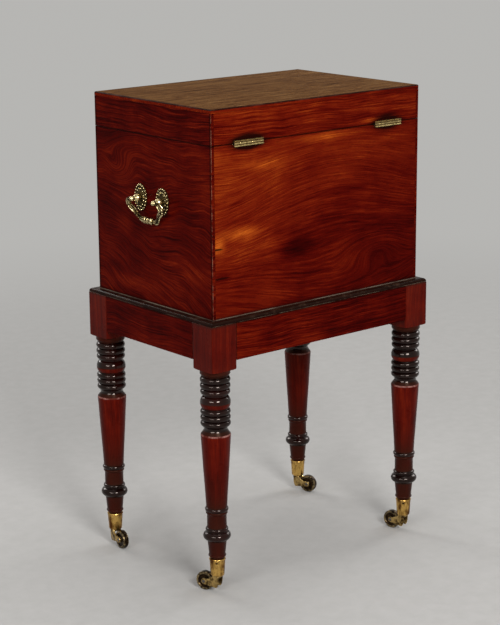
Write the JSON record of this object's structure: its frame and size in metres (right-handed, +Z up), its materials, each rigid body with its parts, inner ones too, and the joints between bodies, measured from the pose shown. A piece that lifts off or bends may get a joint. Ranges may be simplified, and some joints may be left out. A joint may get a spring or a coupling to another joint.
{
  "type": "cellarette",
  "caption": "Lidded mahogany bottle chest with carrying handles, on a stand with turned, ringed legs and brass castors.",
  "frame": {"origin": "on the floor, under the middle of the chest", "axes": "+X to the chest's right-hand end, +Y to the back with the hinges, +Z up"},
  "size_m": [0.4696, 0.3138, 0.7512],
  "materials": {
    "case_mahogany": "figured mahogany, french polished, glossy",
    "lid_mahogany": "faded straight-grained mahogany, waxed",
    "stand_mahogany": "dark red-brown mahogany, glossy, darker in the rings",
    "dark_moulding": "nearly black stained wood, worn at the corners",
    "inside_wood": "plain unpolished mahogany",
    "polished_brass": "cast brass, worn bright on the high places",
    "castor_brass": "dull browned brass",
    "dark_steel": "darkened steel",
    "green_baize": "green wool baize"
  },
  "bodies": {
    "stand_and_chest": {"leg_front_left": "stand_mahogany", "leg_front_right": "stand_mahogany", "leg_back_left": "stand_mahogany", "leg_back_right": "stand_mahogany", "rail_front": "stand_mahogany", "rail_back": "stand_mahogany", "rail_left": "stand_mahogany", "rail_right": "stand_mahogany", "moulding_frame": "dark_moulding", "box_front": "case_mahogany", "box_back": "case_mahogany", "box_left_end": "case_mahogany", "box_right_end": "case_mahogany", "box_bottom": "inside_wood", "baize_lining": "green_baize", "divider_long": "inside_wood", "divider_cross_1": "inside_wood", "divider_cross_2": "inside_wood", "hinge_right_lower_leaf": "polished_brass", "hinge_left_lower_leaf": "polished_brass", "hinge_right_pin": "dark_steel", "hinge_left_pin": "dark_steel", "lock_case": "polished_brass", "handle_right_front_rosette": "polished_brass", "handle_right_back_rosette": "polished_brass", "handle_right_front_post": "polished_brass", "handle_right_back_post": "polished_brass", "handle_left_front_rosette": "polished_brass", "handle_left_back_rosette": "polished_brass", "handle_left_front_post": "polished_brass", "handle_left_back_post": "polished_brass", "castor_front_left_cup": "castor_brass", "castor_front_right_cup": "castor_brass", "castor_back_left_cup": "castor_brass", "castor_back_right_cup": "castor_brass"},
    "lid": {"lid_front": "case_mahogany", "lid_back": "case_mahogany", "lid_left_end": "case_mahogany", "lid_right_end": "case_mahogany", "lid_top": "lid_mahogany", "hinge_right_upper_leaf": "polished_brass", "hinge_left_upper_leaf": "polished_brass", "lock_link_plate": "polished_brass"},
    "lock_bolt": {"lock_bolt": "dark_steel"},
    "right_bail": {"handle_right_bail": "polished_brass"},
    "left_bail": {"handle_left_bail": "polished_brass"},
    "front_left_horn": {"castor_front_left_horn": "castor_brass", "castor_front_left_axle": "dark_steel"},
    "front_right_horn": {"castor_front_right_horn": "castor_brass", "castor_front_right_axle": "dark_steel"},
    "back_left_horn": {"castor_back_left_horn": "castor_brass", "castor_back_left_axle": "dark_steel"},
    "back_right_horn": {"castor_back_right_horn": "castor_brass", "castor_back_right_axle": "dark_steel"},
    "front_left_wheel": {"castor_front_left_wheel": "castor_brass"},
    "front_right_wheel": {"castor_front_right_wheel": "castor_brass"},
    "back_left_wheel": {"castor_back_left_wheel": "castor_brass"},
    "back_right_wheel": {"castor_back_right_wheel": "castor_brass"}
  },
  "joints": [
    {"name": "lid_hinge", "type": "hinge", "parent": "stand_and_chest", "child": "lid", "pos_m": [0, 0.1448, 0.69755], "axis": [-1, 0, 0], "range_deg": [0, 95]},
    {"name": "lock_bolt_slide", "type": "slide", "parent": "stand_and_chest", "child": "lock_bolt", "axis": [1, 0, 0], "range_m": [0, 0.006]},
    {"name": "right_bail_swing", "type": "hinge", "parent": "stand_and_chest", "child": "right_bail", "pos_m": [0.23, 0, 0.6], "axis": [0, -1, 0], "range_deg": [0, 219]},
    {"name": "left_bail_swing", "type": "hinge", "parent": "stand_and_chest", "child": "left_bail", "pos_m": [-0.23, 0, 0.6], "axis": [0, 1, 0], "range_deg": [0, 219]},
    {"name": "front_left_swivel", "type": "hinge", "parent": "stand_and_chest", "child": "front_left_horn", "pos_m": [-0.2015, -0.1335, 0.03], "axis": [0, 0, 1], "continuous": true},
    {"name": "front_right_swivel", "type": "hinge", "parent": "stand_and_chest", "child": "front_right_horn", "pos_m": [0.2015, -0.1335, 0.03], "axis": [0, 0, 1], "continuous": true},
    {"name": "back_left_swivel", "type": "hinge", "parent": "stand_and_chest", "child": "back_left_horn", "pos_m": [-0.2015, 0.1335, 0.03], "axis": [0, 0, 1], "continuous": true},
    {"name": "back_right_swivel", "type": "hinge", "parent": "stand_and_chest", "child": "back_right_horn", "pos_m": [0.2015, 0.1335, 0.03], "axis": [0, 0, 1], "continuous": true},
    {"name": "front_left_roll", "type": "hinge", "parent": "front_left_horn", "child": "front_left_wheel", "pos_m": [-0.20885, -0.1133, 0.015], "axis": [-0.9397, -0.342, 0], "continuous": true},
    {"name": "front_right_roll", "type": "hinge", "parent": "front_right_horn", "child": "front_right_wheel", "pos_m": [0.20412, -0.11216, 0.015], "axis": [-0.9925, 0.1219, 0], "continuous": true},
    {"name": "back_left_roll", "type": "hinge", "parent": "back_left_horn", "child": "back_left_wheel", "pos_m": [-0.19703, 0.11247, 0.015], "axis": [0.9781, 0.2079, 0], "continuous": true},
    {"name": "back_right_roll", "type": "hinge", "parent": "back_right_horn", "child": "back_right_wheel", "pos_m": [0.20885, 0.1133, 0.015], "axis": [0.9397, 0.342, 0], "continuous": true}
  ]
}
